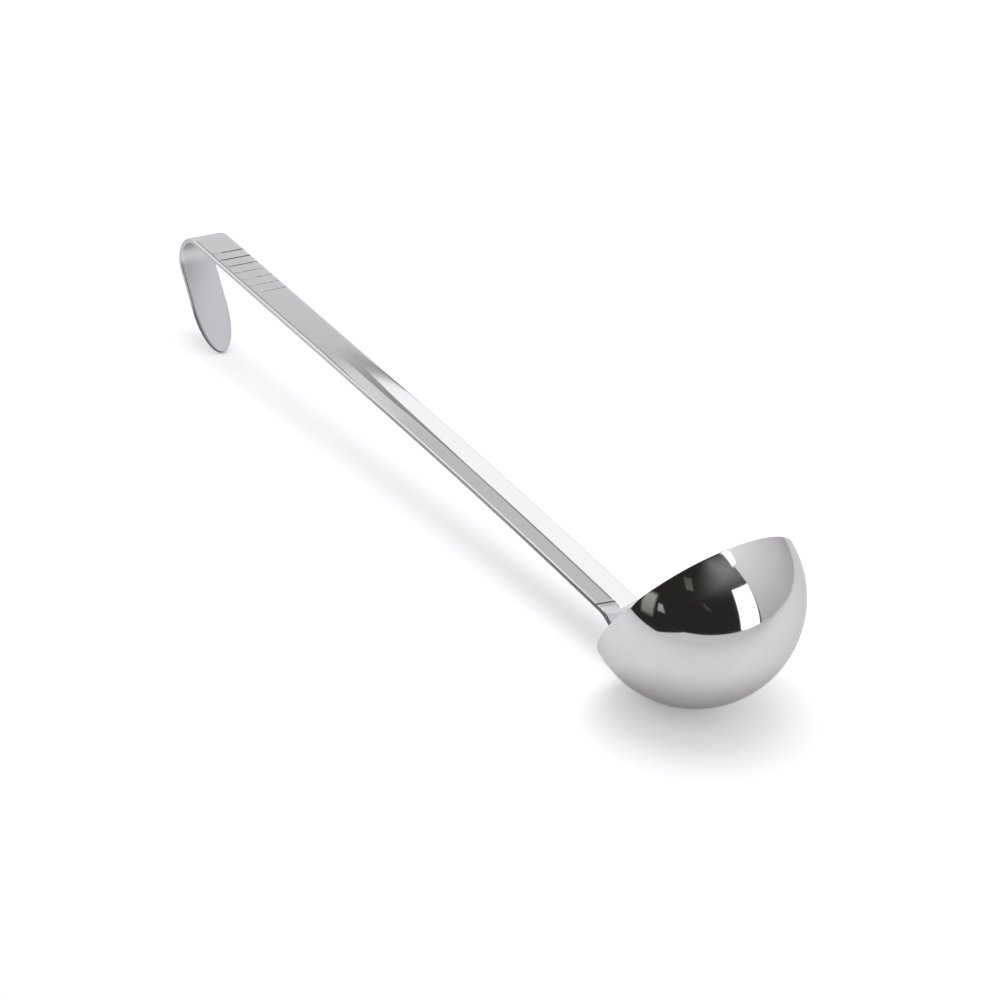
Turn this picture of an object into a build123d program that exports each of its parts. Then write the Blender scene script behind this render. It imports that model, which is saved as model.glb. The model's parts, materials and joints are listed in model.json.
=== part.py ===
from build123d import *
import os
from math import asin, atan2, cos, degrees, hypot, radians, sin, sqrt

# A soup ladle: a half-round pressed bowl, spot-welded to a flat bar handle.
#
# The bar's lower end is a pad, bent round the bowl and coined to it. From there the bar stands up past
# the rim, leans back at the neck, carries a shallow V-shaped gutter that stiffens it, has seven grip
# grooves, and ends in a hook for hanging. The ladle is built upright, with the bowl's centre at the
# origin and its opening up. It is then laid down as it rests on a table, on the back of the pad and on
# the tip of the hook's tail.

os.makedirs("parts", exist_ok=True)

# Bowl
bowl_diameter = 90.0            # outside, across the rim
bowl_wall = 1.2
rim_bevel = 0.35                # both edges of the rim

# Bar that the handle is bent from
bar_width = 19.4
bar_thickness = 2.5
edge_round = 0.4                # all along its edges

# Pad behind the bowl
pad_depth = 28.0                # from the rim down
pad_tip_length = 8.0            # half-ellipse at its lower end
pad_tip_stations = 7
pad_tip_phase = 80.0            # degrees of the ellipse's quarter turn that the stations follow
coin_land = 1.0                 # left flat on each side of the dish that is coined to the bowl
faying_gap = 0.1                # between the bowl and the pad, round the welds

# Spot welds that hold the pad to the bowl, and the marks that the electrodes leave on both sides
weld_diameter = 5.0
weld_in_bowl = 0.6              # how far a weld is fused into the bowl's wall
weld_in_pad = 0.9
weld_bevel = 0.25
upper_weld_depth = 7.0          # below the rim
lower_weld_depth = 18.0
electrode_radius = 28.0         # of its domed face
electrode_mark = 0.1            # how deep it presses into the steel

# Neck, from the rim to the gutter
neck_length = 18.4              # straight, from the rim to the bend
neck_bend_radius = 15.0         # on the front face
neck_bend_angle = 24.0

# Shank, from the neck's bend to the hook: bowed where the gutter has its full depth, straight above
shank_length = 327.0
gutter_depth = 1.4
gutter_floor = 2.0              # width of the valley's flat floor
gutter_top = 118.0              # from the hook's start down to where the gutter starts
gutter_run_out = 55.0           # over which it reaches its depth
gutter_stop = 2.0               # over which it closes at the neck
run_out_stations = 6
bow_turn = 2.4                  # degrees that the bowed stretch turns through
bow_in_run_out = 9.5            # how far the bow reaches up into the run-out

# Hook and its tail
hook_inner_radius = 10.5
hook_angle = 132.2
tail_length = 44.3
tail_tip_length = 24.0          # half-ellipse at its end

# Grip grooves across the front face
groove_count = 7
groove_first = 14.5             # from the hook's start
groove_pitch = 6.65
groove_radius = 0.45
groove_depth = 0.25

cut_overrun = 5.0               # how far cutting tools reach past what they cut

# Sizes that follow
bowl_radius = bowl_diameter / 2
bowl_inner_radius = bowl_radius - bowl_wall
half_width = bar_width / 2
coin_radius = bowl_radius + faying_gap
pad_radius = sqrt(coin_radius**2 - (half_width - coin_land)**2)
pad_back_radius = pad_radius + bar_thickness
pad_angle = degrees(asin(pad_depth / pad_radius))
hook_outer_radius = hook_inner_radius + bar_thickness
gutter_length = shank_length - gutter_top
full_gutter_length = gutter_length - gutter_run_out
bow_length = full_gutter_length + bow_in_run_out
bow_radius = bow_length / radians(bow_turn)
shank_lean = neck_bend_angle + bow_turn


def lean(angle):
    """Direction of the bar where it has leaned back by this angle from upright."""
    return Vector(sin(radians(angle)), 0, cos(radians(angle)))


def backwards(angle):
    """Direction square to the bar, from its front face to its back."""
    return Vector(cos(radians(angle)), 0, -sin(radians(angle)))


def after_bend(start, angle, turn, radius):
    """End of a bend to the back that starts at this lean. The radius is the front face's."""
    return start + backwards(angle) * radius - backwards(angle + turn) * radius


# Corners of the bar's front line, from the bowl's rim to the end of the tail
rim_point = Vector(pad_radius, 0, 0)
bend_start = rim_point + lean(0) * neck_length
bend_end = after_bend(bend_start, 0, neck_bend_angle, neck_bend_radius)
bow_end = after_bend(bend_end, neck_bend_angle, bow_turn, bow_radius)
hook_start = bow_end + lean(shank_lean) * (shank_length - bow_length)
hook_centre = hook_start + backwards(shank_lean) * hook_outer_radius
hook_end = after_bend(hook_start, shank_lean, hook_angle, hook_outer_radius)
tail_lean = shank_lean + hook_angle
tail_end = hook_end + lean(tail_lean) * tail_length


def shank_point(distance_up):
    """Point on the shank's front line, and the lean there, at this distance above the neck's bend."""
    if distance_up < bow_length:
        turn = bow_turn * distance_up / bow_length
        return after_bend(bend_end, neck_bend_angle, turn, bow_radius), neck_bend_angle + turn
    return bow_end + lean(shank_lean) * (distance_up - bow_length), shank_lean


def across(point, angle):
    """Plane square to the bar: x along the bar's width, y from the back towards the front."""
    return Plane(origin=point, x_dir=(0, 1, 0), z_dir=lean(angle))


def plain_section(point, angle, width=bar_width):
    """Section of the plain bar, with its four edges rounded."""
    section = RectangleRounded(width, bar_thickness, edge_round, align=(Align.CENTER, Align.MAX))
    return across(point, angle) * section


def gutter_section(distance_up, depth):
    """Section of the bar at this distance above the bend, pressed down along its middle by this depth."""
    half_floor = gutter_floor / 2
    section = make_face(Polyline(
        (-half_width, 0),
        (-half_floor, -depth),
        (half_floor, -depth),
        (half_width, 0),
        (half_width, -bar_thickness),
        (half_floor, -bar_thickness - depth),
        (-half_floor, -bar_thickness - depth),
        (-half_width, -bar_thickness),
        close=True,
    ))
    corners = [v for v in section.vertices() if abs(v.X) > (half_width + half_floor) / 2]
    return across(*shank_point(distance_up)) * fillet(corners, edge_round)


def bend(section, centre, turn):
    """Section swung round a bend's centre, towards the back."""
    return revolve(section, axis=Axis(centre, (0, 1, 0)), revolution_arc=turn)


def make_bowl():
    """Half-round shell with a bevelled rim."""
    wall = make_face([
        CenterArc((0, 0), bowl_radius, -90, 90),
        Line((bowl_inner_radius, 0), (bowl_radius, 0)),
        CenterArc((0, 0), bowl_inner_radius, -90, 90),
        Line((0, -bowl_radius), (0, -bowl_inner_radius)),
    ])
    rim = [v for v in wall.vertices() if abs(v.Y) < rim_bevel]
    return revolve(Plane.XZ * chamfer(rim, rim_bevel), axis=Axis.Z)


def make_pad():
    """Strip bent round the bowl, narrowing along a half-ellipse at its end."""
    narrowing_turn = degrees(pad_tip_length / pad_radius)
    strip = bend(plain_section(rim_point, 0), (0, 0, 0), pad_angle - narrowing_turn)
    stations = []
    for index in range(pad_tip_stations + 1):
        phase = pad_tip_phase * index / pad_tip_stations
        left_share = 1 - sin(radians(phase)) / sin(radians(pad_tip_phase))
        angle = pad_angle - narrowing_turn * left_share
        width = bar_width * cos(radians(phase))
        stations.append(plain_section(backwards(angle) * pad_radius, angle, width))
    return strip + loft(stations, ruled=True)


def make_neck():
    """Straight neck above the rim, and the bend that leans the bar back."""
    straight = extrude(plain_section(rim_point, 0), amount=neck_length, dir=lean(0))
    centre = bend_start + backwards(0) * neck_bend_radius
    return straight + bend(plain_section(bend_start, 0), centre, neck_bend_angle)


def make_shank():
    """Stretch with the gutter: it stops short at the neck and runs out smoothly under the grip."""
    full_share = (full_gutter_length - gutter_stop) / bow_length
    bow_centre = bend_end + backwards(neck_bend_angle) * bow_radius
    stop = loft([gutter_section(0, 0), gutter_section(gutter_stop, gutter_depth)], ruled=True)
    full = bend(gutter_section(gutter_stop, gutter_depth), bow_centre, bow_turn * full_share)
    stations = []
    for index in range(run_out_stations + 1):
        share = index / run_out_stations
        depth_share = (1 + cos(radians(180 * share))) / 2
        up = full_gutter_length + gutter_run_out * share
        stations.append(gutter_section(up, gutter_depth * depth_share))
    return stop + full + loft(stations, ruled=True)


def make_grip():
    """Flat top of the shank with the grip grooves, and the hook."""
    gutter_start, angle = shank_point(gutter_length)
    grip = extrude(plain_section(gutter_start, angle), amount=gutter_top, dir=lean(angle))
    for index in range(groove_count):
        down = groove_first + groove_pitch * index
        above_face = groove_radius - groove_depth
        centre = hook_start - lean(shank_lean) * down - backwards(shank_lean) * above_face
        grip -= Plane(origin=centre, z_dir=(0, 1, 0)) * Cylinder(groove_radius, bar_width + cut_overrun)
    return grip + bend(plain_section(hook_start, shank_lean), hook_centre, hook_angle)


def make_tail():
    """Flat tail below the hook, with a half-ellipse end and all its edges rounded but those at the hook."""
    run = tail_length - tail_tip_length
    tip = EllipticalCenterArc((0, 0), tail_tip_length, half_width, start_angle=-90, arc_size=180)
    sides = Polyline((0, half_width), (-run, half_width), (-run, -half_width), (0, -half_width))
    plate = extrude(make_face([tip, sides]), amount=bar_thickness)
    outlines = plate.edges().filter_by(Axis.Z, reverse=True)
    plate = fillet(outlines.filter_by(lambda edge: edge.center().X > -run), edge_round)
    tip_centre = tail_end - lean(tail_lean) * tail_tip_length
    return Plane(origin=tip_centre, x_dir=lean(tail_lean), z_dir=backwards(tail_lean)) * plate


def weld_plane(depth, radius):
    """Plane across the bowl's radius through a weld at this depth below the rim, its normal outwards."""
    outwards = backwards(degrees(asin(depth / bowl_radius)))
    return Plane(origin=outwards * radius, z_dir=outwards)


def make_weld(depth):
    """Fused nugget between the bowl and the pad."""
    length = weld_in_bowl + faying_gap + weld_in_pad
    nugget = Cylinder(weld_diameter / 2, length, align=(Align.CENTER, Align.CENTER, Align.MIN))
    nugget = chamfer(nugget.edges().filter_by(GeomType.CIRCLE), weld_bevel)
    return weld_plane(depth, bowl_radius - weld_in_bowl) * nugget


bowl = make_bowl()

# The bowl's shape is coined into the front of the pad and of the neck's foot
handle = make_pad() + make_neck() + make_shank() + make_grip() + make_tail() - Sphere(coin_radius)

welds = []
for weld_depth in (upper_weld_depth, lower_weld_depth):
    weld = make_weld(weld_depth)
    electrode = Sphere(electrode_radius)
    bowl -= weld
    bowl -= weld_plane(weld_depth, bowl_inner_radius + electrode_mark - electrode_radius) * electrode
    handle -= weld
    handle -= weld_plane(weld_depth, pad_back_radius - electrode_mark + electrode_radius) * electrode
    welds.append(weld)

# Laying down: the pad's back and the rounded edge of the tail's tip touch the table together
touch = tail_end - lean(tail_lean) * edge_round + backwards(tail_lean) * edge_round
touch_reach = hypot(touch.X, touch.Z)
touch_angle = degrees(atan2(touch.X, touch.Z))
opening_rise = touch_angle - degrees(asin((pad_back_radius - edge_round) / touch_reach))
lie_down = Rot(0, 90 - opening_rise, 0)

# The origin is under the middle of the ladle's length, on the table
hook_at = lie_down * Pos(hook_centre.X, 0, hook_centre.Z)
hook_reach = hook_at.position.X + hook_outer_radius
place = Pos((bowl_radius - hook_reach) / 2, 0, pad_back_radius) * lie_down

nodes = {
    "bowl": bowl,
    "handle": handle,
    "upper_spot_weld": welds[0],
    "lower_spot_weld": welds[1],
}
for name, solid in nodes.items():
    export_step(place * solid, f"parts/{name}.step")

hook_place = place * Pos(hook_centre.X, 0, hook_centre.Z)
print("opening rises", round(opening_rise, 3), "degrees above the table")
print("hook centre", [round(value, 4) for value in hook_place.position])
print("bowl centre", [round(value, 4) for value in place.position])
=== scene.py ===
# %% [markdown]
# A soup ladle is two pieces of stainless steel: a half-round bowl pressed from sheet, and one long
# flat bar that is bent into the whole handle. Two spot welds hold them together.
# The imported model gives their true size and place. This file gives them their finish: it rebuilds
# both pieces as fine meshes in the same place, polishes them, and lights them as on a studio table.

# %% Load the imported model
import json
from math import asin, atan2, cos, hypot, pi, radians, sin, sqrt

import bmesh
import bpy
import numpy as np
from mathutils import Matrix, Vector


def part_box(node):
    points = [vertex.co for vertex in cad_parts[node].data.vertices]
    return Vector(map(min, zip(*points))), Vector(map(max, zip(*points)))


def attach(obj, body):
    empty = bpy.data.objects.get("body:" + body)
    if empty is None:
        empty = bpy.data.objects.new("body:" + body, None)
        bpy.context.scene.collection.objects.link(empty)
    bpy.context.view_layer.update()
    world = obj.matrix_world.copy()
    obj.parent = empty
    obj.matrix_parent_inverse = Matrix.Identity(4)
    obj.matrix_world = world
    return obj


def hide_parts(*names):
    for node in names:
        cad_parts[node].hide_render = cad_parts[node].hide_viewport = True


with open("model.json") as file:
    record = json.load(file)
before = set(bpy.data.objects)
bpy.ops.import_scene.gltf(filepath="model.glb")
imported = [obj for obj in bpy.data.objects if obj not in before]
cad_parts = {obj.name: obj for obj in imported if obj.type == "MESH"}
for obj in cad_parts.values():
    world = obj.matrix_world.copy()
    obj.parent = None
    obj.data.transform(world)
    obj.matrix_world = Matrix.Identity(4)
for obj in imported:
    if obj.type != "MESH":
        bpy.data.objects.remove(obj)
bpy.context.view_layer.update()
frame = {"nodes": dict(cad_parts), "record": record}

MM = 0.001
print("pieces in the model:", sorted(frame["nodes"]))

# %% [markdown]
# Every length below is the real one in millimetres, and the shapes are worked out from them. The
# bowl is half a sphere. The bar is stock of one width and thickness, so that its shape is known once
# we know the line that its front face follows.

# %% Sizes of the bowl and the bar, in millimetres
bowl_radius = 45.0
bowl_wall = 1.2
rim_round = 0.25                # the rim is only deburred

bar_width = 19.4
bar_thickness = 2.5
edge_round = 0.4
rolled_round = 0.55             # the gutter's die rolls the edges beside it
half_width = bar_width / 2
ease_width = 1.2                # the belt also eases each edge, over this much of the face
ease_angle = radians(12)        # and up to this slope
tail_round = 0.45               # the back's edges in the hook, where fingers and rims go

coin_radius = 45.1              # dish that is coined into the pad, a film of air round the bowl
coin_land = 1.0
pad_depth = 28.0
pad_tip = 8.0
pad_radius = sqrt(coin_radius**2 - (half_width - coin_land)**2)
pad_length = pad_radius * asin(pad_depth / pad_radius)

neck_length = 18.4
neck_bend = radians(24)
neck_bend_radius = 15.0
bow_length = 163.5
bow_turn = radians(2.4)
straight_length = 163.5
hook_radius = 13.0              # on the bar's front face, which is the outside of the hook
hook_turn = radians(132.2)
tail_length = 44.3
tail_tip = 24.0
print(f"bowl of {2 * bowl_radius} mm, bar of {bar_width} x {bar_thickness} mm")

# %% [markdown]
# The bar is easiest to think of as the smith does: first a flat blank, then bent. A place on it is
# how far along the blank it is, how far across, and how deep behind the front face. The bends only
# say where each length of the blank ends up. Each stretch of it is straight or an arc, so a short
# list of stretches holds the whole handle.

# %% The line that the bar follows
def along(lean):
    """Direction of the bar, in the upright plane, where it leans back by this angle."""
    return np.array([np.sin(lean), np.cos(lean)])


def backwards(lean):
    """Direction from the bar's front face to its back."""
    return np.array([np.cos(lean), -np.sin(lean)])


stretches = []                  # (start on the blank, end, place of the start, lean there, turn, radius)
place, lean, reached = np.array([pad_radius, 0.0]), 0.0, 0.0
for length, turn, radius in (
    (neck_length, 0, 0),
    (neck_bend * neck_bend_radius, neck_bend, neck_bend_radius),
    (bow_length, bow_turn, bow_length / bow_turn),
    (straight_length, 0, 0),
    (hook_turn * hook_radius, hook_turn, hook_radius),
    (tail_length, 0, 0),
):
    stretches.append((reached, reached + length, place, lean, turn, radius))
    if turn:
        place = place + (backwards(lean) - backwards(lean + turn)) * radius
    else:
        place = place + along(lean) * length
    lean, reached = lean + turn, reached + length
bend_end = stretches[1][1]
hook_start = stretches[3][1]
tail_start = stretches[4][1]
tail_end = stretches[5][1]
print(f"blank: pad {pad_length:.1f} mm below the rim, {tail_end:.1f} mm above it")


def bent(s, depth):
    """Upright place of points of the blank: s along it from the bowl's rim, depth behind its front."""
    angle = -np.minimum(s, 0) / pad_radius
    x, z = backwards(angle) * (pad_radius + depth)
    for start, end, at, lean, turn, radius in stretches:
        here = s > start
        if turn:
            angle = lean + turn * (s - start) / (end - start)
            centre = at + backwards(lean) * radius
            px, pz = centre[:, None] - backwards(angle) * (radius - depth)
        else:
            px, pz = at[:, None] + np.outer(along(lean), s - start) + np.outer(backwards(lean), depth)
        x, z = np.where(here, px, x), np.where(here, pz, z)
    return x, z


# %% [markdown]
# The ladle lies on the back of its pad and the tip of its tail, so it is turned from upright until
# the hook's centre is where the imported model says. The bowl's centre stands over the table by the
# outer radius of the pad, and that fixes everything.

# %% Lay the ladle down
hook_x, _, hook_z = (value / MM for value in frame["record"]["mounts"][0]["pos_m"])
upright_hook = stretches[4][2] + backwards(stretches[4][3]) * hook_radius
reach = hypot(*upright_hook)
pad_back = pad_radius + bar_thickness
swing = asin((hook_z - pad_back) / reach)
rise = atan2(*upright_hook) + swing
bowl_centre = np.array([hook_x - reach * cos(swing), 0, pad_back])


def lay_down(x, y, z):
    """Places in the model's own frame, in metres, of upright places in millimetres."""
    laid = np.stack([z * cos(rise) + x * sin(rise), y, z * sin(rise) - x * cos(rise)], axis=-1)
    return (laid + bowl_centre) * MM


print(f"the opening rises {rise * 180 / pi:.2f} degrees, bowl's centre {bowl_centre.round(2)} mm")


# %% [markdown]
# Both pieces are rows of points, each row a closed loop. Two small functions turn such rows into
# faces, and points and faces into an object.

# %% Helpers that make a piece
tiny = 0.001                    # mm, the closest that two points may lie
link = bpy.context.scene.collection.objects.link


def faces_between(loops, count):
    """Faces between loops of this many points each."""
    faces = []
    for loop in range(loops - 1):
        for column in range(count):
            after = (column + 1) % count
            low, high = loop * count, (loop + 1) * count
            faces.append((low + column, low + after, high + after, high + column))
    return faces


def piece_from(name, points, faces):
    """Closed, smooth-shaded mesh object with doubles merged and its faces turned outwards."""
    mesh = bpy.data.meshes.new(name)
    mesh.from_pydata([tuple(p) for p in points], [], faces)
    cleaned = bmesh.new()
    cleaned.from_mesh(mesh)
    bmesh.ops.remove_doubles(cleaned, verts=cleaned.verts, dist=tiny * MM)
    bmesh.ops.recalc_face_normals(cleaned, faces=cleaned.faces)
    for face in cleaned.faces:
        face.smooth = True
    cleaned.to_mesh(mesh)
    cleaned.free()
    piece = bpy.data.objects.new(name, mesh)
    link(piece)
    print(name, "has", sum(len(p.vertices) - 2 for p in mesh.polygons), "triangles")
    return piece


# %% [markdown]
# A node tree is easier to read when every node is added the same way, so one small function adds a
# node and another feeds its inputs. They serve the geometry tree and the materials.

# %% Helpers that add a node and feed it
MATH, RANGE, NOISE = "ShaderNodeMath", "ShaderNodeMapRange", "ShaderNodeTexNoise"
ATTRIBUTE = "ShaderNodeAttribute"
SMOOTH = {"interpolation_type": "SMOOTHSTEP"}


def feed(tree, node, feeds):
    """Fills inputs in order or by name: each with a value, a socket or a node's first output."""
    for key, value in feeds.items() if isinstance(feeds, dict) else enumerate(feeds):
        if isinstance(value, bpy.types.Node):
            value = value.outputs[0]
        if isinstance(value, bpy.types.NodeSocket):
            tree.links.new(value, node.inputs[key])
        else:
            node.inputs[key].default_value = value


def add(tree, kind, feeds=(), operation=None, **settings):
    """Adds a node, sets its operation and its other properties, and feeds it."""
    made = tree.nodes.new(kind)
    if operation:
        made.operation = operation
    for name, value in settings.items():
        setattr(made, name, value)
    feed(tree, made, feeds)
    return made


def linear(hex_colour):
    """Linear RGBA of an sRGB colour written as hex."""
    shares = [int(hex_colour[i:i + 2], 16) / 255 for i in (1, 3, 5)]
    return [s / 12.92 if s <= 0.04045 else ((s + 0.055) / 1.055) ** 2.4 for s in shares] + [1]


# %% [markdown]
# The bowl is pressed and then spun against a polishing mop, so it is a true round form, and a mirror
# shows every flaw in its mesh. It could be a UV sphere cut in half and thickened, but then the rim
# would be a hard step. Here its section is walked once, up the outside, over the rounded rim and
# down the inside, and each point of the section becomes a ring.

# %% The bowl's section and its rings
bowl_segments = 240
wall_rows = 80
rim_rows = 7
inner_radius = bowl_radius - bowl_wall


def bowl_section():
    """Radius and height of the section's points, pole to pole, the rim at height zero."""
    quarter = np.linspace(0, pi / 2, rim_rows)
    swing_out = np.linspace(0, pi / 2 - asin(rim_round / bowl_radius), wall_rows)
    swing_in = np.linspace(pi / 2 - asin(rim_round / inner_radius), 0, wall_rows)
    radii = [bowl_radius * np.sin(swing_out),
             bowl_radius - rim_round * (1 - np.cos(quarter)),
             inner_radius + rim_round * (1 - np.sin(quarter)),
             inner_radius * np.sin(swing_in)]
    heights = [-bowl_radius * np.cos(swing_out),
               -rim_round * (1 - np.sin(quarter)),
               -rim_round * (1 - np.cos(quarter)),
               -inner_radius * np.cos(swing_in)]
    return np.concatenate(radii), np.concatenate(heights)


def rings(radii, heights, segments):
    """Points and faces of a closed surface of revolution."""
    turns = np.arange(segments) * 2 * pi / segments
    points = [(r * np.cos(turns), r * np.sin(turns), np.full(segments, h)) for r, h in zip(radii, heights)]
    points = np.concatenate([np.stack(p, axis=-1) for p in points])
    return points, faces_between(len(radii), segments)


# %% [markdown]
# Spot welding squeezes bowl and pad between two domed copper electrodes. Each leaves a shallow dimple
# on both sides, which is all that shows of the welds. A dimple is where a point lies inside the
# electrode's ball, so each such point is moved onto the ball, straight away from the sheet's face.

# %% The marks of the electrodes
weld_depths = (7.0, 18.0)       # below the rim
electrode_radius = 28.0
electrode_mark = 0.1


def weld_direction(depth):
    """Direction from the bowl's centre, upright, to the weld this far below the rim."""
    turn = asin(depth / bowl_radius)
    return np.array([cos(turn), 0, -sin(turn)])


def press_bowl(points):
    """Pushes the bowl's inside out onto the electrodes."""
    length = np.linalg.norm(points, axis=1)
    unit = points / np.maximum(length, tiny)[:, None]
    for depth in weld_depths:
        middle = inner_radius + electrode_mark - electrode_radius
        ahead = unit @ weld_direction(depth) * middle
        far = ahead + np.sqrt(np.maximum(ahead**2 - middle**2 + electrode_radius**2, 0))
        pressed = (length < inner_radius + tiny) & (ahead > 0) & (far > length)
        points = np.where(pressed[:, None], unit * far[:, None], points)
    return points


def press_pad(points):
    """Pushes the pad's back in onto the electrodes."""
    for depth in weld_depths:
        centre = weld_direction(depth) * (pad_back - electrode_mark + electrode_radius)
        gap = points - centre
        distance = np.linalg.norm(gap, axis=1)
        scale = np.maximum(electrode_radius / distance, 1)
        points = centre + gap * scale[:, None]
    return points


# %% Make the bowl
bowl_points, bowl_faces = rings(*bowl_section(), bowl_segments)
bowl_points = press_bowl(bowl_points)
bowl = piece_from("bowl_shell", lay_down(*bowl_points.T), bowl_faces)
from_centre = np.array([v.co for v in bowl.data.vertices]) / MM - bowl_centre
axis = lay_down(0, 0, 1) / MM - bowl_centre
fall = np.arccos(np.clip(-from_centre @ axis / np.linalg.norm(from_centre, axis=1), -1, 1))
from_pole = bowl.data.attributes.new("from_pole", "FLOAT", "POINT")
from_pole.data.foreach_set("value", fall * bowl_radius * MM)
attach(bowl, "root")
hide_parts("bowl")

# %% [markdown]
# The blank is a closed mesh of rows. A row is one loop round the bar: across the front, round an
# edge, across the back and round the other edge. Where the blank ends in a half-ellipse its rows
# follow the ellipse, and each edge is rounded square to the outline. On the grip the belt also eased
# the edges, and the gutter's die rolled those beside it. Rows lie close together where the blank is
# bent or grooved and far apart where nothing happens.

# %% Places along the blank
groove_count = 7
groove_pitch = 6.65
groove_radius = 0.6
first_groove = hook_start - 14.5
last_groove = first_groove - groove_pitch * (groove_count - 1)
gutter_top = 109.0              # below the hook's start
gutter_length = bow_length + straight_length - gutter_top
gutter_end = bend_end + gutter_length
run_out_length = 64.0
run_out_start = gutter_end - run_out_length
pad_tip_start = pad_tip - pad_length
tail_tip_start = tail_end - tail_tip
print(f"grooves from {last_groove:.1f} to {first_groove:.1f} mm, gutter up to {gutter_end:.1f} mm")

# %% Steps between the rows and the columns of the blank, in millimetres
pad_step, neck_step, bend_step, crease_step, gutter_step = 0.8, 0.6, 0.4, 0.1, 1.6
grip_step, groove_gap_step, hook_step, tail_step = 4.0, 1.2, 0.5, 2.0
groove_step = groove_radius / 5
crease_zone = 3.0               # past the bend, where the gutter's die left a crease
tip_rows = 40
valley_columns = np.arange(0, 3.2, 0.25)         # from the bar's middle, scaled to each face
flank_columns = np.linspace(3.4, 8.0, 7)
half_columns = np.concatenate([valley_columns, flank_columns])
columns = np.concatenate([-half_columns[:0:-1], half_columns])
ease_steps = np.linspace(0, 1, 6)
round_count = 8


def evenly(start, end, step):
    """Places from start up to end, end left out, about this step apart."""
    return np.linspace(start, end, max(int(round((end - start) / step)), 1), endpoint=False)


def straight_rows():
    """Places of the rows between the two tips."""
    crease_end = bend_end + crease_zone
    places = [evenly(pad_tip_start, 0, pad_step), evenly(0, neck_length, neck_step),
              evenly(neck_length, bend_end, bend_step), evenly(bend_end, crease_end, crease_step),
              evenly(crease_end, gutter_end, gutter_step),
              evenly(gutter_end, last_groove - groove_radius, grip_step)]
    for index in range(groove_count):
        middle = last_groove + index * groove_pitch
        places.append(evenly(middle - groove_radius, middle + groove_radius, groove_step))
        next_start = middle + groove_pitch - groove_radius if index < groove_count - 1 else hook_start
        places.append(evenly(middle + groove_radius, next_start, groove_gap_step))
    places += [evenly(hook_start, tail_start, hook_step), evenly(tail_start, tail_tip_start, tail_step)]
    return np.concatenate(places)


def blank_rows():
    """Place along the blank, half-width, and outward normal along and across, of each row's edge."""
    straight = straight_rows()
    ones = np.ones(len(straight))
    plain = np.stack([straight, half_width * ones, 0 * ones, ones], axis=-1)
    phase = np.linspace(0, pi / 2, tip_rows)
    sine, cosine = np.sin(phase), np.append(np.cos(phase[:-1]), 0)
    tips = []
    for start, length, way in ((pad_tip_start, pad_tip, -1), (tail_tip_start, tail_tip, 1)):
        normal = np.stack([sine / length, cosine / half_width], axis=-1)
        normal /= np.linalg.norm(normal, axis=1)[:, None]
        tips.append(np.stack([start + way * length * sine, half_width * cosine,
                              way * normal[:, 0], normal[:, 1]], axis=-1))
    return np.concatenate([tips[0][:0:-1], plain, tips[1]])


# %% Make the blank
def edge_profile(radius, slope):
    """Out and down from the face of an edge's points: eased up to a slope, then rounded to square."""
    drop = np.tan(slope) * ease_width / 2
    round_steps = np.linspace(slope, pi / 2, round_count)
    out = np.append(ease_width * ease_steps[:-1], ease_width + radius * (np.sin(round_steps) - sin(slope)))
    down = np.append(drop * ease_steps[:-1] ** 2, drop + radius * (cos(slope) - np.cos(round_steps)))
    return out, down


def blank_loop(front_radius, back_radius, slope):
    """Side, inset from the outline and depth of each point round the bar, for flat and edge points."""
    shares = columns / columns[-1]
    faces, edges = [], []
    for radius in (front_radius, back_radius):
        out, down = edge_profile(radius, slope)
        faces.append(np.stack([shares, 0 * shares + out[-1], 0 * shares], axis=-1))
        edges.append(np.stack([0 * out + 1, out[-1] - out, down], axis=-1)[1:])
    (front, back), (front_edge, back_edge) = faces, edges
    for points in (back, back_edge):
        points[:, 2] = bar_thickness - points[:, 2]
    right = np.concatenate([front_edge, back_edge[::-1]])
    return np.concatenate([front, right, back[::-1], right[::-1] * (-1, 1, 1)])


def make_blank():
    """Flat bar with the blank's coordinates in metres: along, across, and down behind the front."""
    points = []
    for s, half, normal_s, normal_y in blank_rows():
        rounder = np.clip((s - hook_start) / hook_radius, 0, 1)
        eased = np.clip((s - run_out_start) / run_out_length, 0, 1)
        back_radius = edge_round + (tail_round - edge_round) * rounder
        front_radius = rolled_round + (edge_round - rolled_round) * eased
        side, inset, depth = blank_loop(front_radius, back_radius, ease_angle * eased).T
        across = side * (half - inset * normal_y)
        points.append(np.stack([s - inset * normal_s, across, -depth], axis=-1) * MM)
    return piece_from("handle_bar", np.concatenate(points), faces_between(len(points), len(points[0])))


handle = make_blank()

# %% [markdown]
# Two tools press the blank before it is bent. A long die presses the gutter, a shallow valley that
# makes the thin bar stiff, and a shorter one presses the seven grip grooves. Both follow a rule, so
# geometry nodes press them: the depth at a point depends only on where the point is on the blank.
# The grooves repeat at a pitch, so a point asks which groove is nearest and how far off it is. Through
# the neck the gutter softens into a hollow that meets the pad's dish, and the die's end left a crease
# on its left flank.

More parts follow.
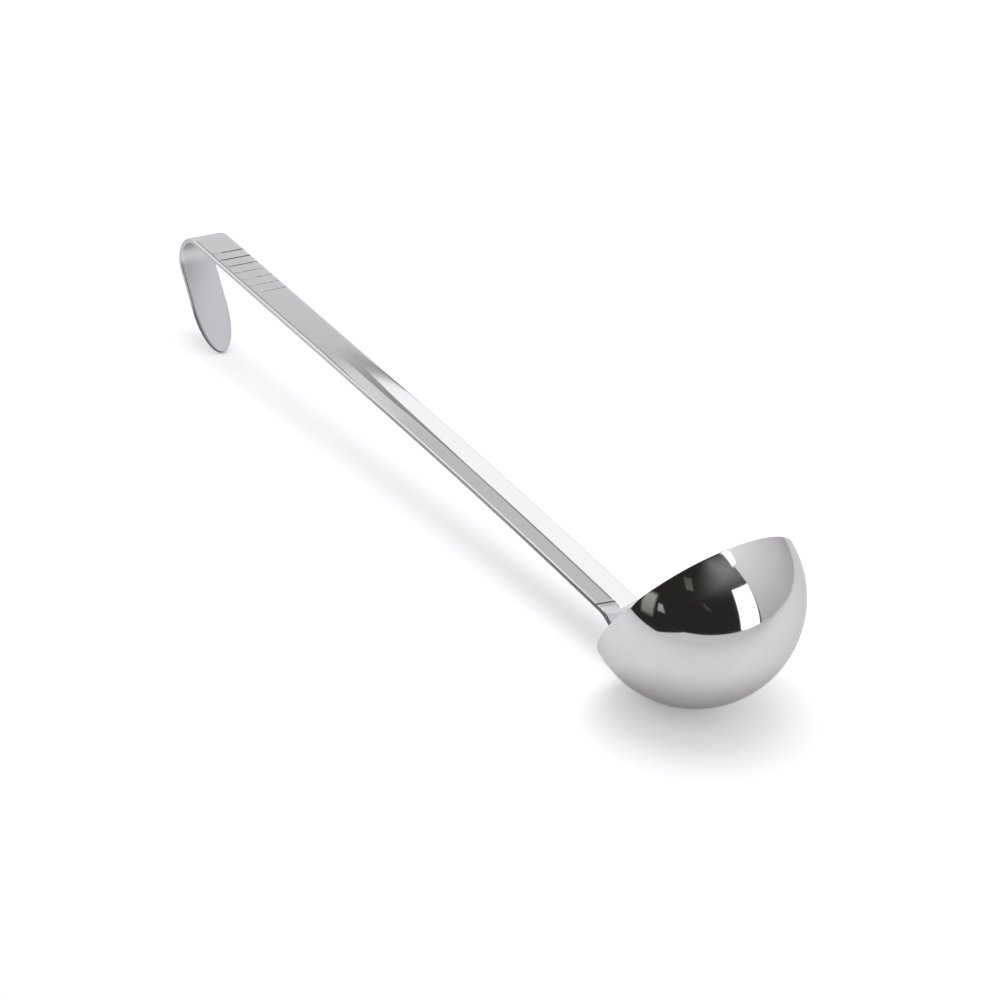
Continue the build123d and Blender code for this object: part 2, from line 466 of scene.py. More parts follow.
# %% Sizes that the pressing tree takes
groove_depth = 0.2
gutter_floor = 0.4              # half the width of the valley's floor at the neck
gutter_flank = half_width - gutter_floor
crease_place = bend_end + 1.8
press_lengths = {
    "Half Width": half_width,
    "Gutter Depth": 1.4,
    "Floor": gutter_floor,
    "Wide Floor": 2.6,          # and half its width where the gutter runs out
    "Wide Start": bend_end + gutter_length / 2,
    "Hollow Start": 1.0,        # above the rim
    "Bend Start": neck_length,
    "Gutter Start": bend_end,
    "Run Out Start": run_out_start,
    "Gutter End": gutter_end,
    "First Groove": first_groove,
    "Groove Pitch": groove_pitch,
    "Groove Radius": groove_radius,
    "Groove Depth": groove_depth,
    "Groove Rise": groove_radius - groove_depth,
    "Groove Fade Start": 5.0,   # across the bar, towards its left edge, where the groove tool lifts
    "Groove Fade End": 8.2,
    "Crease Place": crease_place,
    "Crease Half": 1.0,
    "Crease Side": -0.5,        # across the bar, from where the crease runs to the left edge
    "Crease Depth": 0.12,
}
press_sizes = {
    "Rounding": 0.5 / gutter_flank,         # over which the gutter's flanks turn into its floor
    "Neck Rounding": 6.0 / gutter_flank,    # and through the neck, where it is a softer hollow
    "Neck Share": 0.75,                     # of its depth that goes on through the neck
    "Last Groove": groove_count - 1.0,
}
press_sizes.update((name, length * MM) for name, length in press_lengths.items())
print("the pressing tree takes", len(press_sizes), "sizes")

# %% Build the pressing tree
def pressing_tree():
    """Geometry nodes that press the gutter and the grip grooves into the flat blank."""
    tree = bpy.data.node_groups.new("press_the_bar", "GeometryNodeTree")
    sockets = [("Geometry", "INPUT", "Geometry"), ("Steel", "INPUT", "Material")]
    sockets += [(name, "INPUT", "Float") for name in press_sizes] + [("Geometry", "OUTPUT", "Geometry")]
    for name, way, kind in sockets:
        tree.interface.new_socket(name, in_out=way, socket_type="NodeSocket" + kind)
    size = add(tree, "NodeGroupInput").outputs
    spot = add(tree, "ShaderNodeSeparateXYZ", [add(tree, "GeometryNodeInputPosition")]).outputs

    # Gutter: a valley across the bar, a softer hollow through the neck, run out towards the grip
    floor = add(tree, RANGE, [spot[0], size["Wide Start"], size["Gutter End"],
                              size["Floor"], size["Wide Floor"]])
    beyond = add(tree, MATH, [add(tree, MATH, [spot[1]], "ABSOLUTE"), floor], "SUBTRACT")
    flank = add(tree, MATH, [size["Half Width"], floor], "SUBTRACT")
    share = add(tree, MATH, [beyond, flank], "DIVIDE")
    rounding = add(tree, RANGE, [spot[0], size["Bend Start"], size["Gutter Start"],
                                 size["Neck Rounding"], size["Rounding"]])
    hill = add(tree, MATH, [share, 0.0, rounding], "SMOOTH_MAX")
    valley = add(tree, MATH, [1.0, hill], "SUBTRACT")
    neck = add(tree, RANGE, [spot[0], size["Bend Start"], size["Gutter Start"],
                             size["Neck Share"], 1.0], **SMOOTH)
    let_in = add(tree, RANGE, [spot[0], size["Hollow Start"], size["Bend Start"], 0.0, neck], **SMOOTH)
    run_out = add(tree, RANGE, [spot[0], size["Run Out Start"], size["Gutter End"], 1.0, 0.0], **SMOOTH)
    depth = valley
    for share in (size["Gutter Depth"], let_in, run_out):
        depth = add(tree, MATH, [depth, share], "MULTIPLY")

    # Grooves: the distance to the nearest one gives how far the round tool presses in there
    below = add(tree, MATH, [size["First Groove"], spot[0]], "SUBTRACT")
    count = add(tree, MATH, [add(tree, MATH, [below, size["Groove Pitch"]], "DIVIDE")], "ROUND")
    count = add(tree, MATH, [add(tree, MATH, [count, 0.0], "MAXIMUM"), size["Last Groove"]], "MINIMUM")
    off = add(tree, MATH, [below, add(tree, MATH, [count, size["Groove Pitch"]], "MULTIPLY")], "SUBTRACT")
    chord = add(tree, MATH, [add(tree, MATH, [size["Groove Radius"], 2.0], "POWER"),
                             add(tree, MATH, [off, off], "MULTIPLY")], "SUBTRACT")
    chord = add(tree, MATH, [add(tree, MATH, [chord, 0.0], "MAXIMUM")], "SQRT")
    groove = add(tree, MATH, [add(tree, MATH, [chord, size["Groove Rise"]], "SUBTRACT"), 0.0], "MAXIMUM")
    front = add(tree, MATH, [spot[2], -0.5 * bar_thickness * MM], "GREATER_THAN")
    lift = add(tree, RANGE, [spot[1], size["Groove Fade Start"], size["Groove Fade End"], 1.0, 0.0])
    groove = add(tree, MATH, [add(tree, MATH, [groove, front], "MULTIPLY"), lift], "MULTIPLY")

    # Crease: a short line across the left flank, from the valley to the edge
    off = add(tree, MATH, [add(tree, MATH, [spot[0], size["Crease Place"]], "SUBTRACT")], "ABSOLUTE")
    crease = add(tree, RANGE, [off, 0.0, size["Crease Half"], 1.0, 0.0])
    on_left = add(tree, MATH, [spot[1], size["Crease Side"]], "GREATER_THAN")
    crease = add(tree, MATH, [add(tree, MATH, [crease, on_left], "MULTIPLY"), front], "MULTIPLY")

    # The material reads both shares to paint shade into the grooves and the crease.
    groove_share = add(tree, MATH, [groove, size["Groove Depth"]], "DIVIDE")
    marked = size["Geometry"]
    for name, share in (("groove", groove_share), ("crease", crease)):
        marked = add(tree, "GeometryNodeStoreNamedAttribute",
                     {"Geometry": marked, "Name": name, "Value": share}, data_type="FLOAT", domain="POINT")
    down = add(tree, MATH, [add(tree, MATH, [depth, groove], "ADD"),
                            add(tree, MATH, [crease, size["Crease Depth"]], "MULTIPLY")], "ADD")
    down = add(tree, MATH, [down, -1.0], "MULTIPLY")
    pressed = add(tree, "GeometryNodeSetPosition",
                  {"Geometry": marked, "Offset": add(tree, "ShaderNodeCombineXYZ", {"Z": down})})
    whole = add(tree, "GeometryNodeRealizeInstances", [pressed])
    steel = add(tree, "GeometryNodeSetMaterial", {"Geometry": whole, "Material": size["Steel"]})
    add(tree, "NodeGroupOutput", [steel])
    return tree


# %% [markdown]
# Both pieces are 18/10 stainless steel, a metal, so its colour is that of its reflections and there is
# no paint to add. What tells the two finishes apart is how they were polished. The bowl was mopped to
# a mirror: the slight waves that deep drawing leaves bend what it reflects, and the mop's fine rings
# haze it a little. Both are noise on the object's coordinates. A perfect mirror would be simpler, but
# it would look like a drawing of a bowl.

# %% Steel, mirror polished: the bowl
draw_wave = 16.0                # mm from one wave of the drawn sheet to the next
draw_height = 0.010             # mm
mop_line = 0.35                 # mm between the mop's marks, drawn coarser than they are
haze_patch = 9.0                # mm
haze_span = (0.1, 0.45)         # of the noise, from the clearest spots to the haziest
mirror_roughness = (0.03, 0.085)
mirror_tints = ((0.35, "#D3D1D1"), (0.65, "#D6D4D4"))
edge_tint = "#E0DFE0"           # of a reflection at a grazing angle


def steel(name, colour, roughness):
    """A metal material, its tree and its shader."""
    material = bpy.data.materials.new(name)
    material.use_nodes = True
    tree = material.node_tree
    shader = tree.nodes["Principled BSDF"]
    feed(tree, shader, {"Metallic": 1.0, "Base Color": linear(colour),
                        "Specular Tint": linear(edge_tint), "Roughness": roughness})
    return material, tree, shader


def mirror_steel():
    """Stainless sheet, deep drawn and mop polished: sharp reflections on very slight waves."""
    material, tree, shader = steel("mirror_polished_stainless", mirror_tints[0][1], mirror_roughness[0])
    spot = add(tree, "ShaderNodeTexCoord").outputs["Object"]
    waves = add(tree, NOISE, {"Vector": spot, "Scale": 1 / (draw_wave * MM), "Detail": 1.0})
    bump = add(tree, "ShaderNodeBump", {"Height": waves, "Distance": draw_height * MM})
    ring = add(tree, ATTRIBUTE, attribute_name="from_pole").outputs["Fac"]
    ring = add(tree, "ShaderNodeCombineXYZ", [ring])
    lines = add(tree, NOISE, {"Vector": ring, "Scale": 1 / (mop_line * MM), "Detail": 2.0})
    patches = add(tree, NOISE, {"Vector": spot, "Scale": 1 / (haze_patch * MM), "Detail": 3.0})
    haze = add(tree, MATH, [lines, patches], "MULTIPLY")
    rough = add(tree, RANGE, [haze, *haze_span, *mirror_roughness])
    tint = add(tree, "ShaderNodeValToRGB", [patches])
    for stop, (position, colour) in zip(tint.color_ramp.elements, mirror_tints):
        stop.position = position
        stop.color = linear(colour)
    feed(tree, shader, {"Normal": bump, "Roughness": rough, "Base Color": tint})
    return material


# %% [markdown]
# The bar was ground lengthwise on a belt and then buffed. A picture of brushed metal would stretch in
# the hook, so every pattern is read from the place on the blank, which follows all bends. The grip is
# duller than the gutter, which the die burnished, and the sides keep some of the skin of the shear,
# painted darker as painted shade. Painted shade also darkens the grooves, most of all the upper ones,
# the crease, the valley's floor, the tail's tip and the sides by the neck. Each mark is a mask from 0
# to 1, and where marks overlap the darkest shows.

# %% Steel, belt ground and buffed: its colours and sizes
# The middle colour is partly the shear's skin and partly painted shade on the sides; the last colour is the
# painted shade of all dark marks.
belt_colour, shear_and_shade_colour, painted_shade_colour = "#D0D0D2", "#9A9997", "#1B1A1C"
grain_length = 14.0             # mm that one scratch of the belt runs
grain_width = 0.22              # mm between scratches, drawn coarser than they are
grain_height = 0.00007          # mm
roll_wave = 22.0                # mm from one wave of the rolled bar to the next
roll_height = 0.006             # mm

side_band = (0.25, 0.5)         # mm behind a face, over which its rounded edge turns into the side
belted_skin = 0.4               # share of the shear's skin and its painted shade that the belt leaves on the grip's sides
tip_band = (tail_tip_start - 6, tail_tip_start + 4)

groove_shade_patch = 3.5                # mm from one patch of heavier painted shade in the grooves to the next
groove_shade_span = (0.4, 0.58)         # of the noise, from no painted shade to full
groove_shade_share = (0.22, 0.65)       # share of painted shade there
upper_groove_band = (first_groove - 2.6 * groove_pitch, first_groove + 0.2 * groove_pitch)
upper_groove_shade = 1.1               # and more of it in the upper grooves
unshaded_width = 4.0               # mm from the bar's middle to where the first groove has no painted shade
groove_spread = 0.3             # power under which the painted shade spreads over a groove's walls

tip_shadow_darkness = 0.6                 # darkness of the painted contact shadow and dark reflection on the tail tip's edge
neck_side_shade = 0.6              # and of the painted shade on the sides by the neck
neck_side_band = (bend_end - 8, bend_end + gutter_length * 0.4)
# Darkness of the painted dark reflection along the valley's floor.
valley_shade = 0.55
valley_half = (0.15, 0.75)      # mm from the bar's middle
valley_starts = (crease_place, crease_place + 3)
valley_fades = (bend_end + gutter_length * 0.3, bend_end + gutter_length * 0.65)

gutter_roughness, grip_roughness, shear_roughness = 0.09, 0.235, 0.3
grip_band = (run_out_start, gutter_end + run_out_length / 4)
edge_band = (half_width - ease_width - edge_round, half_width - ease_width)
edge_gloss = 0.5                # share of the roughness that is left at the edges
inside_hook, inside_tail = 0.16, 0.07
hook_band, tail_band = (hook_start, hook_start + 6), (tail_start, tail_start + 16)
back_share = 0.6                # of the bar's thickness, behind which lies the hook's inside
uneven_span = (0.3, 0.7)        # of the grain's noise
uneven_roughness = (0.95, 1.05)


def mixed(tree, share, first, second):
    """Colour between two: the first where the share is 0, the second where it is 1."""
    made = add(tree, "ShaderNodeMix", {"Factor": share, "A": first, "B": second}, data_type="RGBA")
    return made.outputs["Result"]


def metres(*lengths):
    """The same lengths in metres, for a node's inputs."""
    return [length * MM for length in lengths]


# %% Steel, belt ground and buffed: the masks of its marks and of its painted shade
def sheared_sides(tree, length, depth):
    """Masks of the bar's sides, of its tail's tip, and of the shear's skin, which also carries the sides'
    painted shade.
    """
    behind = add(tree, MATH, [depth, -1.0], "MULTIPLY")
    middle = add(tree, MATH, [behind, *metres(bar_thickness / 2)], "PINGPONG")
    side = add(tree, RANGE, [middle, *metres(*side_band), 0.0, 1.0])
    beside_gutter = add(tree, RANGE, [length, *metres(run_out_start, gutter_end), 1.0, 0.0])
    tip = add(tree, RANGE, [length, *metres(*tip_band), 0.0, 1.0])
    skin = add(tree, MATH, [beside_gutter, tip], "MAXIMUM")
    skin = add(tree, MATH, [skin, belted_skin], "MAXIMUM")
    return side, tip, add(tree, MATH, [skin, side], "MULTIPLY")


def groove_shade_mask(tree, blank, length, across):
    """Mask of the painted shade in the grooves, patchy, heavier in the upper ones, none at the first
    groove's left.
    """
    groove = add(tree, ATTRIBUTE, attribute_name="groove").outputs["Fac"]
    patchy_noise = add(tree, NOISE, {"Vector": blank, "Scale": 1 / (groove_shade_patch * MM), "Detail": 1.0})
    upper_shade = add(tree, RANGE, [length, *metres(*upper_groove_band), 0.0, upper_groove_shade])
    first = add(tree, MATH, [length, *metres(first_groove - 0.5 * groove_pitch)], "GREATER_THAN")
    left_unshaded = add(tree, RANGE, [across, 0.0, *metres(unshaded_width), 0.0, first])
    shade_share = add(tree, RANGE, [patchy_noise, *groove_shade_span, *groove_shade_share])
    shade_share = add(tree, MATH, [shade_share, upper_shade], "ADD")
    shade_share = add(tree, MATH, [shade_share, left_unshaded], "SUBTRACT", use_clamp=True)
    spread = add(tree, MATH, [groove, groove_spread], "POWER")
    return add(tree, MATH, [shade_share, spread], "MULTIPLY")


def painted_shade_marks(tree, blank, length, across, side, tip):
    """Mask of all painted shade on the bar: grooves, crease, valley, the tail's tip and the sides by the
    neck.
    """
    dark = groove_shade_mask(tree, blank, length, across)
    # Painted shade in the crease.
    crease = add(tree, ATTRIBUTE, attribute_name="crease").outputs["Fac"]
    # Painted shadow on the edge of the tail's tip.
    tip_shade = add(tree, MATH, [tip, side], "MULTIPLY")
    tip_shade = add(tree, MATH, [tip_shade, tip_shadow_darkness], "MULTIPLY")
    # Painted shade on the sides by the neck.
    neck_shade = add(tree, RANGE, [length, *metres(*neck_side_band), neck_side_shade, 0.0])
    neck_shade = add(tree, MATH, [neck_shade, side], "MULTIPLY")
    # Painted dark reflection along the gutter's valley floor.
    off_middle = add(tree, MATH, [across], "ABSOLUTE")
    valley = add(tree, RANGE, [off_middle, *metres(*valley_half), valley_shade, 0.0])
    in_gutter = add(tree, RANGE, [length, *metres(*valley_starts), 0.0, 1.0])
    in_gutter = add(tree, RANGE, [length, *metres(*valley_fades), in_gutter, 0.0])
    valley = add(tree, MATH, [valley, in_gutter], "MULTIPLY")
    for mark in (crease, tip_shade, neck_shade, valley):
        dark = add(tree, MATH, [dark, mark], "MAXIMUM")
    return dark


def belt_roughness(tree, length, across, depth, grain, skin_and_side_shade):
    """Roughness: dull on the grip, duller inside the hook where the belt can't reach, glossier at edges."""
    dull = add(tree, RANGE, [length, *metres(*grip_band), gutter_roughness, grip_roughness], **SMOOTH)
    off_middle = add(tree, MATH, [across], "ABSOLUTE")
    eased = add(tree, RANGE, [off_middle, *metres(*edge_band), 1.0, edge_gloss])
    dull = add(tree, MATH, [dull, eased], "MULTIPLY")
    inside = add(tree, MATH, [depth, *metres(-back_share * bar_thickness)], "LESS_THAN")
    hook = add(tree, RANGE, [length, *metres(*hook_band), 0.0, inside_hook], **SMOOTH)
    hook = add(tree, RANGE, [length, *metres(*tail_band), hook, inside_tail], **SMOOTH)
    hook = add(tree, MATH, [inside, hook], "MULTIPLY")
    dull = add(tree, MATH, [hook, dull], "ADD")
    uneven = add(tree, RANGE, [grain, *uneven_span, *uneven_roughness])
    rough = add(tree, MATH, [dull, uneven], "MULTIPLY")
    skin = add(tree, MATH, [skin_and_side_shade, shear_roughness], "MULTIPLY")
    return add(tree, MATH, [rough, skin], "MAXIMUM")


# %% Steel, belt ground and buffed: the handle
def satin_steel():
    """Stainless bar: lengthwise grain, dull on the grip and brighter where the die burnished it."""
    material, tree, shader = steel("belt_ground_stainless", belt_colour, grip_roughness)
    blank = add(tree, ATTRIBUTE, attribute_name="blank").outputs["Vector"]
    length, across, depth = add(tree, "ShaderNodeSeparateXYZ", [blank]).outputs
    stretch = [1 / size for size in metres(grain_length, grain_width, grain_width)]
    grain = add(tree, "ShaderNodeMapping", {"Vector": blank, "Scale": stretch}, vector_type="POINT")
    grain = add(tree, NOISE, {"Vector": grain, "Scale": 1.0, "Detail": 2.0})
    waves = add(tree, NOISE, {"Vector": blank, "Scale": 1 / (roll_wave * MM), "Detail": 1.0})
    wavy = add(tree, "ShaderNodeBump", {"Height": waves, "Distance": roll_height * MM})
    bump = add(tree, "ShaderNodeBump", {"Height": grain, "Distance": grain_height * MM, "Normal": wavy})
    side, tip, skin_and_side_shade = sheared_sides(tree, length, depth)
    dark = painted_shade_marks(tree, blank, length, across, side, tip)
    # The sides take the shear's colour: partly the shear's skin, partly painted shade.
    with_side_shade = mixed(tree, skin_and_side_shade, linear(belt_colour), linear(shear_and_shade_colour))
    # Painted shade: the dark colour goes wherever the marks' mask says.
    with_painted_shade = mixed(tree, dark, with_side_shade, linear(painted_shade_colour))
    rough = belt_roughness(tree, length, across, depth, grain, skin_and_side_shade)
    feed(tree, shader, {"Normal": bump, "Base Color": with_painted_shade, "Roughness": rough})
    return material


# %% [markdown]
# A weld is steel that was molten for a moment. The solids of the two nuggets are kept, although bowl
# and pad hide them, so they only need their own finish: the cast skin and the heat's faint tints.

# %% Steel, fused and left as welded: the nuggets between bowl and pad
weld_colour, blue_tint, straw_tint = "#B7B2AA", "#8F97A6", "#C2A981"
weld_roughness = 0.42
skin_cloud = 1.5                # mm
skin_height = 0.03              # mm


def weld_metal():
    """Fused stainless: a cast skin with the straw and blue tints that heat leaves."""
    material, tree, shader = steel("fused_stainless", weld_colour, weld_roughness)
    spot = add(tree, "ShaderNodeTexCoord").outputs["Object"]
    clouds = add(tree, NOISE, {"Vector": spot, "Scale": 1 / (skin_cloud * MM), "Detail": 3.0})
    tint = add(tree, "ShaderNodeValToRGB", [clouds])
    for stop, colour in zip(tint.color_ramp.elements, (blue_tint, straw_tint)):
        stop.color = linear(colour)
    bump = add(tree, "ShaderNodeBump", {"Height": clouds, "Distance": skin_height * MM})
    feed(tree, shader, {"Base Color": tint, "Normal": bump})
    return material


bowl_steel, handle_steel, weld_steel = mirror_steel(), satin_steel(), weld_metal()
bowl.data.materials.append(bowl_steel)
for name in ("upper_spot_weld", "lower_spot_weld"):
    weld = frame["nodes"][name]
    for slot in weld.material_slots:
        slot.material = weld_steel
print("materials:", bowl_steel.name, handle_steel.name, weld_steel.name)

# %% [markdown]
# Now the blank is pressed by the tree, and its result is kept as a plain mesh. Before bending, each
# point also keeps its place on the blank as an attribute, so that the grain can follow the bar.

# %% Press the blank
press = handle.modifiers.new("press", "NODES")
press.node_group = pressing_tree()
for socket in press.node_group.interface.items_tree:
    if socket.name in press_sizes:
        press[socket.identifier] = press_sizes[socket.name]
    elif socket.name == "Steel":
        press[socket.identifier] = handle_steel
flat = np.array([v.co for v in handle.data.vertices])
pressed = handle.evaluated_get(bpy.context.evaluated_depsgraph_get())
handle.data = bpy.data.meshes.new_from_object(pressed)
handle.modifiers.clear()
pressed_points = np.array([v.co for v in handle.data.vertices])
print(f"pressed up to {(flat[:, 2] - pressed_points[:, 2]).max() / MM:.2f} mm deep")

# %% [markdown]
# Bending moves every point of the blank to its place behind the front line. The pad's front is then
# coined to the bowl: a point that would lie inside the bowl is pushed back onto its dish.

# %% Bend the bar, coin the pad and lay it down
blank_place = handle.data.attributes.new("blank", "FLOAT_VECTOR", "POINT")
blank_place.data.foreach_set("vector", flat.ravel())
s, y, depth = (pressed_points / MM * (1, 1, -1)).T
dish = np.sqrt(np.maximum(coin_radius**2 - y**2 - np.maximum(s, 0) ** 2, pad_radius**2)) - pad_radius
depth = np.maximum(depth, dish)
x, z = bent(s, depth)
upright = np.stack([x, y, z], axis=-1)
upright = np.where((s < 0)[:, None], press_pad(upright), upright)
handle.data.vertices.foreach_set("co", lay_down(*upright.T).ravel())
handle.data.update()
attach(handle, "root")
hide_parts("handle")
for piece, node in ((bowl, "bowl"), (handle, "handle")):
    corners = np.array([v.co for v in piece.data.vertices])
    off = np.abs(np.array([corners.min(0), corners.max(0)]) - np.array(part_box(node))) / MM
    print(f"{piece.name} differs from the box of {node} by {off.max():.3f} mm at most")

# %% [markdown]
# The camera is the photographer's: a long lens about a metre away, looking down across the bowl with
# the handle running away to the left. It was found by matching the outlines of both pieces.

# %% Camera
image_size = 1000
focal_pixels = 2680.15
sensor_width = 36.0
camera_place = Vector((-0.83111, 0.67123, 0.58576))
camera_heading = radians(-40.373)
camera_pitch = radians(-28.283)
camera_roll = radians(6.728)

camera = bpy.data.objects.new("camera", bpy.data.cameras.new("camera"))
camera.data.sensor_width = sensor_width
camera.data.lens = focal_pixels / image_size * sensor_width
camera.matrix_world = (Matrix.Translation(camera_place)
                       @ Matrix.Rotation(camera_heading - pi / 2, 4, "Z")
                       @ Matrix.Rotation(pi / 2 + camera_pitch, 4, "X")
                       @ Matrix.Rotation(camera_roll, 4, "Z"))
link(camera)
bpy.context.scene.camera = camera
print("camera looks along", [round(v, 4) for v in camera.matrix_world.to_3x3() @ Vector((0, 0, -1))])

# %% [markdown]
# Polished steel looks like whatever stands round it, so the studio matters as much as the metal. The
# ladle lies on white paper near the front edge of a table. The paper is a flat sheet with a corner cut
# out of it, because the bowl mirrors the edge of the table. In the steel only, the paper is painted a
# little darker towards the camera, a painted shade for the light that falls off towards the table's
# edge. It glows faintly for the camera alone, which makes the open paper white and keeps the shadow.

# %% The table
table_height = 0.0
mirrored_shade_span = (0.2, 0.33)        # metres towards the camera over which the mirrored paper is painted darker, a painted shade
# The second colour is the painted shade of the mirrored paper near the camera.
paper_colour, mirrored_shade_colour = "#F6F6F8", "#DCDCDE"
paper_glow = {"seen": 0.17, "mirrored": 0.03, "lit": 0.0}
paper_outline = (               # metres towards the camera and to the right, from the bowl
    (0.47, 2.2), (0.47, -0.08), (0.21, -0.14), (0.24, -0.5), (0.24, -2.2), (-3.0, -2.2), (-3.0, 2.2),
)
towards_camera = Vector((-cos(camera_heading), -sin(camera_heading), 0))
to_the_right = Vector((-towards_camera.y, towards_camera.x, 0))


def show_white(tree, seen, mirrored, lit):
    """Strength with one value for camera rays, one for glossy and transmission rays, one for the rest."""
    rays = add(tree, "ShaderNodeLightPath").outputs
    metal = add(tree, MATH, [rays["Is Glossy Ray"], rays["Is Transmission Ray"]], "MAXIMUM")
    strength = add(tree, RANGE, [metal, 0.0, 1.0, lit, mirrored])
    return add(tree, RANGE, [rays["Is Camera Ray"], 0.0, 1.0, strength, seen])


def bare_material(name):
    """A material without a shader, its tree and its output."""
    material = bpy.data.materials.new(name)
    material.use_nodes = True
    tree = material.node_tree
    tree.nodes.remove(tree.nodes["Principled BSDF"])
    return material, tree, tree.nodes["Material Output"]


def paper():
    """Matt white paper that keeps the shadow, white where nothing shades it, and painted darker near the
    camera in the steel.
    """
    material, tree, output = bare_material("white_paper")
    spot = add(tree, "ShaderNodeTexCoord").outputs["Object"]
    forward = add(tree, "ShaderNodeVectorMath", [spot, towards_camera], "DOT_PRODUCT")
    near_edge = add(tree, RANGE, [forward.outputs["Value"], *mirrored_shade_span, 0.0, 1.0])
    mirrored = add(tree, "ShaderNodeLightPath").outputs["Is Glossy Ray"]
    # Painted shade on the mirrored paper near the camera.
    darker = add(tree, MATH, [near_edge, mirrored], "MULTIPLY")
    colour = mixed(tree, darker, linear(paper_colour), linear(mirrored_shade_colour))
    matt = add(tree, "ShaderNodeBsdfDiffuse", [colour])
    glow = add(tree, "ShaderNodeEmission", {"Strength": show_white(tree, **paper_glow)})
    both = add(tree, "ShaderNodeAddShader", [matt, glow])
    from_below = add(tree, "ShaderNodeNewGeometry").outputs["Backfacing"]
    clear = add(tree, "ShaderNodeBsdfTransparent")
    shown = add(tree, "ShaderNodeMixShader", [from_below, both, clear])
    feed(tree, output, {"Surface": shown})
    return material


corners = [towards_camera * forward + to_the_right * right for forward, right in paper_outline]
corners = [(c.x + bowl_centre[0] * MM, c.y, table_height) for c in corners]
table = bpy.data.objects.new("table", bpy.data.meshes.new("table"))
table.data.from_pydata(corners, [], [tuple(range(len(corners)))])
if table.data.polygons[0].normal.z < 0:
    table.data.flip_normals()
table.data.materials.append(paper())
link(table)
print("the table has", len(corners), "corners")

# %% [markdown]
# Round the table stand flats. On the camera's side the room is dark, with a pale corner, a curtain and
# a few small things. Right of it come a tall softbox and a grey wall with a small window, left of it
# another softbox. Behind the ladle are a far wall, a dark gap, a softbox and a bit of dark ceiling.
# Each flat is a patch of a large ball with its own glow. The camera doesn't see the flats and they
# light nothing. Only the steel mirrors them.

# %% A helper that makes a flat
patch_steps = 12


def patch_of_ball(name, around, distance, low, high):
    """Patch of a ball round a point, which keeps its shares across and up as an attribute."""
    points, faces, spread = [], [], []
    for j in range(patch_steps + 1):
        up = j / patch_steps
        climb, left, right = (radians(a + (b - a) * up) for a, b in zip(low, high))
        for i in range(patch_steps + 1):
            turn = camera_heading + pi + left + (right - left) * i / patch_steps
            aim = Vector((cos(turn) * cos(climb), sin(turn) * cos(climb), sin(climb)))
            points.append(around + aim * distance)
            spread += [i / patch_steps, up, 0]
            if i and j:
                corner = j * (patch_steps + 1) + i
                faces.append((corner, corner - 1, corner - patch_steps - 2, corner - patch_steps - 1))
    mesh = bpy.data.meshes.new(name)
    mesh.from_pydata(points, [], faces)
    mesh.attributes.new("spread", "FLOAT_VECTOR", "POINT").data.foreach_set("vector", spread)
    return bpy.data.objects.new(name, mesh)


def flat_of(name, around, distance, low, high, glow, colour="#FFFFFF", soft=0.001, surround=0.0):
    """Patch of a ball that glows inwards and that only the steel shows.

    Low and high are each an elevation, and the angles right of the camera between which the patch runs
    there. Glow is its strength there, and fades to the surround's over the soft share of its sides.
    """
    material, tree, output = bare_material(name)
    place = add(tree, ATTRIBUTE, attribute_name="spread").outputs["Vector"]
    across, up, _ = add(tree, "ShaderNodeSeparateXYZ", [place]).outputs
    strength = add(tree, RANGE, [up, 0.0, 1.0, *glow])
    inside = add(tree, MATH, [add(tree, MATH, [across, 0.5], "PINGPONG"),
                              add(tree, MATH, [up, 0.5], "PINGPONG")], "MINIMUM")
    strength = add(tree, RANGE, [inside, 0.0, soft, surround, strength], **SMOOTH)
    light = add(tree, "ShaderNodeEmission", {"Color": linear(colour), "Strength": strength})
    feed(tree, output, {"Surface": light})
    flat = patch_of_ball(name, around, distance, low, high)
    flat.data.materials.append(material)
    flat.visible_camera = False
    flat.visible_diffuse = False
    link(flat)


# %% The flats round the table
at_bowl = Vector(bowl_centre) * MM
front_x, front_z = bent(np.array([bow_length]), np.zeros(1))
at_bar = Vector(lay_down(front_x[0], 0, front_z[0]))
# Metres from the ladle: a nearer flat hides a farther one
window_away, thing_away, corner_away, room_away, wall_away = 1.75, 1.8, 1.85, 1.9, 2.4
gloom = 0.03                    # glow of the dark room
flat_of("dark_room", at_bowl, room_away, (-40, -69, 66), (89, -69, 100), (gloom, gloom), "#FAF6F0")
flat_of("pale_corner", at_bowl, corner_away, (24, -12, 98), (80, -12, 98),
        (0.08, 0.48), soft=0.5, surround=gloom)
flat_of("curtain", at_bowl, thing_away, (-3, -57, -42), (22, -67, -44), (0.24, 0.56), "#F6F6EC", 0.2, gloom)
flat_of("left_card", at_bowl, thing_away, (6, -41, -31), (14, -42, -37),
        (0.42, 0.56), "#F2F6F2", 0.15, gloom)
flat_of("brown_shelf", at_bowl, thing_away, (35, -17, -7), (48, -28, -14),
        (0.18, 0.13), "#F4EFDA", 0.12, gloom)
flat_of("dim_pipe", at_bowl, thing_away, (16, 11, 17), (27, -1, 4), (0.1, 0.08), "#F4F0E4", 0.3, gloom)
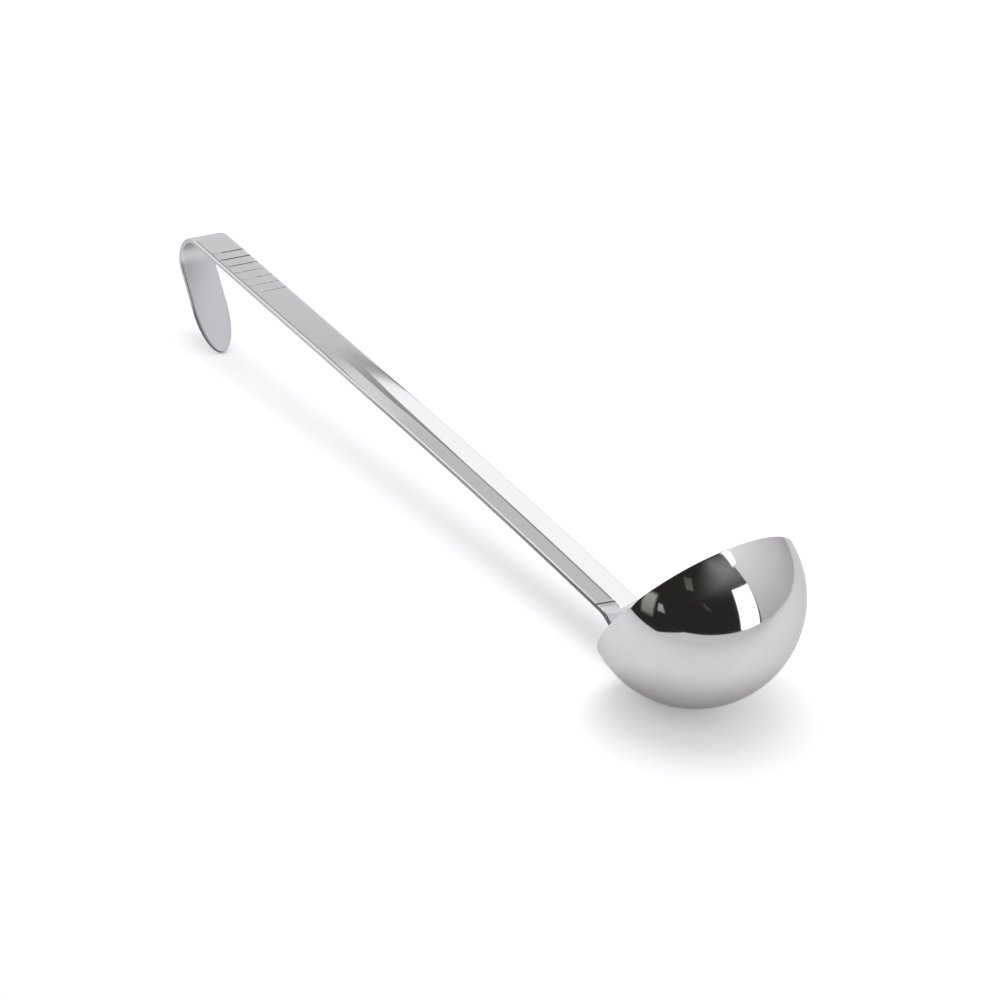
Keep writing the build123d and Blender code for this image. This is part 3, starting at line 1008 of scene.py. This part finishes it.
flat_of("tall_softbox", at_bowl, thing_away, (-5, 45, 66), (36, 39, 62), (2.0, 2.0), "#FFFDF6", 0.03, gloom)
flat_of("grey_wall", at_bowl, thing_away, (-3, 67.5, 160), (73, 56, 120), (0.63, 1.2), "#F6F4F9")
flat_of("small_window", at_bowl, window_away, (54, 55, 65), (76, 58, 92),
        (1.7, 1.7), soft=0.12, surround=0.8)
flat_of("far_wall", at_bar, wall_away, (8, 140, 173.5), (31, 140, 173.5),
        (0.81, 0.81), soft=0.03, surround=1.0)
flat_of("side_softbox", at_bar, wall_away, (-5, -104, -77), (47, -106, -84),
        (2.1, 2.1), soft=0.03, surround=1.0)
flat_of("dark_gap", at_bar, wall_away, (34.3, 158, 198), (42.5, 158, 198), (0.4, 0.4))
flat_of("top_softbox", at_bar, wall_away, (42.5, 150, 212), (88, 150, 212), (1.45, 1.45))
flat_of("dark_ceiling", at_bar, wall_away, (45, 217, 245), (75, 217, 245), (0.15, 0.15))
print("flats stand round the table")

# %% [markdown]
# One round lamp overhead makes the soft shadow, and the white world fills it. Both stay at a plain
# level, at which a colour shows about as it is written. The steel doesn't mirror the lamp, because
# its softboxes already give it highlights, and the world is white for the camera at a strength of 1.

# %% The lamp overhead
lamp_size = 1.0
lamp_height = 1.3
lamp_back = 0.1                 # away from the camera
lamp_power = 5.0
lamp = bpy.data.objects.new("lamp", bpy.data.lights.new("lamp", "AREA"))
lamp.data.shape = "DISK"
lamp.data.size = lamp_size
lamp.data.energy = lamp_power
lamp.location = Vector((0, 0, lamp_height)) - towards_camera * lamp_back
lamp.visible_camera = False
lamp.visible_glossy = False
link(lamp)
print("a lamp", lamp_height, "m up")

# %% The world: white to the eye, a plain soft light for the rest
world_glow = {"seen": 1.0, "mirrored": 1.06, "lit": 0.82}
world = bpy.data.worlds.new("studio")
world.use_nodes = True
bpy.context.scene.world = world
background = world.node_tree.nodes["Background"]
world_strength = show_white(world.node_tree, **world_glow)
feed(world.node_tree, background, {"Strength": world_strength, "Color": linear("#FFFFFF")})
bpy.context.scene.view_settings.view_transform = "Standard"
print("world strengths:", world_glow)
